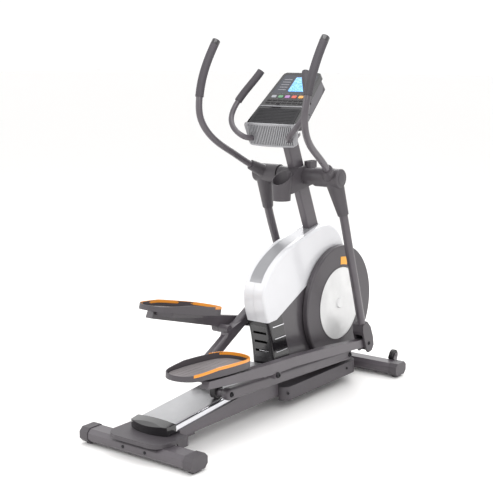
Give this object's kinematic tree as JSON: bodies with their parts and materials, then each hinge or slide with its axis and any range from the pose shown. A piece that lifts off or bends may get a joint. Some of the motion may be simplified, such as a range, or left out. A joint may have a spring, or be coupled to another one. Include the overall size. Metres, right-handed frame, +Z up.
{
  "type": "elliptical trainer",
  "caption": "Front-drive elliptical trainer with swinging handlebars, pedal arms on an inclined roller ramp, a shrouded crank with round discs, and a console on a leaning upright.",
  "frame": {"origin": "on the floor, midway between the two stabilizers and on the symmetry plane", "axes": "+X to the front (flywheel end), +Y to the user's left, +Z up"},
  "size_m": [1.819, 0.6404, 1.7594],
  "materials": {
    "charcoal_paint": "satin",
    "charcoal_moulding": "satin",
    "gloss_black": "gloss",
    "black_plastic": "matte",
    "foam": "matte",
    "insert_rubber": "matte",
    "pulse_pad": "satin",
    "ramp_silver": "satin",
    "bright_trim": "polished",
    "pearl_white": "gloss",
    "silver_moulding": "satin",
    "insert_silver": "satin",
    "disc_charcoal": "satin",
    "axle_steel": "machined",
    "flywheel_iron": "machined",
    "screen": "gloss",
    "key_grey": "gloss",
    "key_green": "gloss",
    "key_violet": "gloss",
    "key_red": "gloss",
    "key_orange": "gloss"
  },
  "bodies": {
    "frame": {"rear_stabilizer": "charcoal_paint", "front_stabilizer": "charcoal_paint", "base_frame": "charcoal_paint", "upright": "charcoal_paint", "fixed_handlebar": "charcoal_paint", "stabilizer_end_cap": "charcoal_moulding", "base_cover": "charcoal_moulding", "rear_base_cover": "charcoal_moulding", "cup_holder": "charcoal_moulding", "console_back": "charcoal_moulding", "shroud_lower_right": "charcoal_moulding", "shroud_lower_left": "charcoal_moulding", "ramp_end_cap": "gloss_black", "console_housing": "gloss_black", "vent_panel": "gloss_black", "power_inlet": "black_plastic", "shelf_pad": "foam", "pulse_grip": "pulse_pad", "ramp_cover": "ramp_silver", "ramp_side_trim": "bright_trim", "shroud_upper_right": "pearl_white", "shroud_upper_left": "pearl_white", "shroud_spine": "silver_moulding", "console_grille": "silver_moulding", "console_side_cover": "silver_moulding", "pivot_axle": "axle_steel", "display_lens": "screen"},
    "swing_right": {"swing_hub_right": "charcoal_moulding", "swing_handlebar_right": "charcoal_paint", "swing_grip_right": "foam", "swing_leg_right": "charcoal_paint", "leg_fork_right": "charcoal_moulding"},
    "pedal_arm_right": {"pedal_arm_right": "charcoal_paint", "pedal_tray_right": "charcoal_moulding", "pedal_insert_right": "insert_rubber"},
    "roller_arm_right": {"roller_arm_right": "charcoal_paint"},
    "ramp_roller_right": {"ramp_roller_right": "black_plastic"},
    "wheel_right": {"transport_wheel_right": "black_plastic"},
    "swing_left": {"swing_hub_left": "charcoal_moulding", "swing_handlebar_left": "charcoal_paint", "swing_grip_left": "foam", "swing_leg_left": "charcoal_paint", "leg_fork_left": "charcoal_moulding"},
    "pedal_arm_left": {"pedal_arm_left": "charcoal_paint", "pedal_tray_left": "charcoal_moulding", "pedal_insert_left": "insert_rubber"},
    "roller_arm_left": {"roller_arm_left": "charcoal_paint"},
    "ramp_roller_left": {"ramp_roller_left": "black_plastic"},
    "wheel_left": {"transport_wheel_left": "black_plastic"},
    "crank": {"crank_axle": "axle_steel", "drive_pulley": "black_plastic", "crank_disc_right": "disc_charcoal", "crank_disc_left": "disc_charcoal", "disc_insert": "insert_silver"},
    "flywheel": {"flywheel": "flywheel_iron"},
    "key_1": {"console_key_1": "key_grey"},
    "key_2": {"console_key_2": "key_green"},
    "key_3": {"console_key_3": "key_violet"},
    "key_4": {"console_key_4": "key_red"},
    "key_5": {"console_key_5": "key_orange"}
  },
  "joints": [
    {"name": "swing_right", "type": "hinge", "parent": "frame", "child": "swing_right", "pos_m": [0.324, 0, 1.088], "axis": [0, -1, 0], "range_deg": [-10, 12]},
    {"name": "swing_left", "type": "hinge", "parent": "frame", "child": "swing_left", "pos_m": [0.324, 0, 1.088], "axis": [0, -1, 0], "range_deg": [-12.5, 10.5]},
    {"name": "pedal_arm_right", "type": "hinge", "parent": "swing_right", "child": "pedal_arm_right", "pos_m": [0.65414, 0, 0.20575], "axis": [0, -1, 0], "range_deg": [-8.3, 7]},
    {"name": "roller_arm_right", "type": "hinge", "parent": "pedal_arm_right", "child": "roller_arm_right", "pos_m": [-0.13664, 0, 0.22447], "axis": [0, -1, 0], "range_deg": [-5.6, 4.75]},
    {"name": "ramp_roller_right", "type": "hinge", "parent": "roller_arm_right", "child": "ramp_roller_right", "pos_m": [-0.41814, 0, 0.19415], "axis": [0, -1, 0], "range_deg": [-332.81, 278.18]},
    {"name": "pedal_arm_left", "type": "hinge", "parent": "swing_left", "child": "pedal_arm_left", "pos_m": [0.70348, 0, 0.22582], "axis": [0, -1, 0], "range_deg": [-6.75, 8]},
    {"name": "roller_arm_left", "type": "hinge", "parent": "pedal_arm_left", "child": "roller_arm_left", "pos_m": [-0.07321, 0, 0.37558], "axis": [0, -1, 0], "range_deg": [-4, 4.7]},
    {"name": "ramp_roller_left", "type": "hinge", "parent": "roller_arm_left", "child": "ramp_roller_left", "pos_m": [-0.29936, 0, 0.20523], "axis": [0, -1, 0], "range_deg": [-259.76, 310.72]},
    {"name": "crank", "type": "hinge", "parent": "frame", "child": "crank", "pos_m": [0.571, 0, 0.415], "axis": [0, -1, 0], "continuous": true},
    {"name": "flywheel", "type": "hinge", "parent": "frame", "child": "flywheel", "pos_m": [0.168, 0, 0.4], "axis": [0, -1, 0], "continuous": true},
    {"name": "wheel_right", "type": "hinge", "parent": "frame", "child": "wheel_right", "pos_m": [0.892, -0.236, 0.091], "axis": [0, -1, 0], "continuous": true},
    {"name": "wheel_left", "type": "hinge", "parent": "frame", "child": "wheel_left", "pos_m": [0.892, 0.236, 0.091], "axis": [0, -1, 0], "continuous": true},
    {"name": "key_1", "type": "slide", "parent": "frame", "child": "key_1", "axis": [0.6428, 0, -0.766], "range_m": [0, 0.001], "stiffness_N_per_m": 400, "springref_m": -0.0005},
    {"name": "key_2", "type": "slide", "parent": "frame", "child": "key_2", "axis": [0.6428, 0, -0.766], "range_m": [0, 0.001], "stiffness_N_per_m": 400, "springref_m": -0.0005},
    {"name": "key_3", "type": "slide", "parent": "frame", "child": "key_3", "axis": [0.6428, 0, -0.766], "range_m": [0, 0.001], "stiffness_N_per_m": 400, "springref_m": -0.0005},
    {"name": "key_4", "type": "slide", "parent": "frame", "child": "key_4", "axis": [0.6428, 0, -0.766], "range_m": [0, 0.001], "stiffness_N_per_m": 400, "springref_m": -0.0005},
    {"name": "key_5", "type": "slide", "parent": "frame", "child": "key_5", "axis": [0.6428, 0, -0.766], "range_m": [0, 0.001], "stiffness_N_per_m": 400, "springref_m": -0.0005}
  ],
  "couplings": [
    {"joint": "swing_left", "follows": "swing_right", "ratio": -1},
    {"joint": "pedal_arm_right", "follows": "swing_right", "ratio": -0.65},
    {"joint": "roller_arm_right", "follows": "swing_right", "ratio": -0.425},
    {"joint": "ramp_roller_right", "follows": "swing_right", "ratio": -27.318},
    {"joint": "pedal_arm_left", "follows": "swing_right", "ratio": 0.625},
    {"joint": "roller_arm_left", "follows": "swing_right", "ratio": 0.35},
    {"joint": "ramp_roller_left", "follows": "swing_right", "ratio": 25.476},
    {"joint": "flywheel", "follows": "crank", "ratio": 7.5}
  ]
}
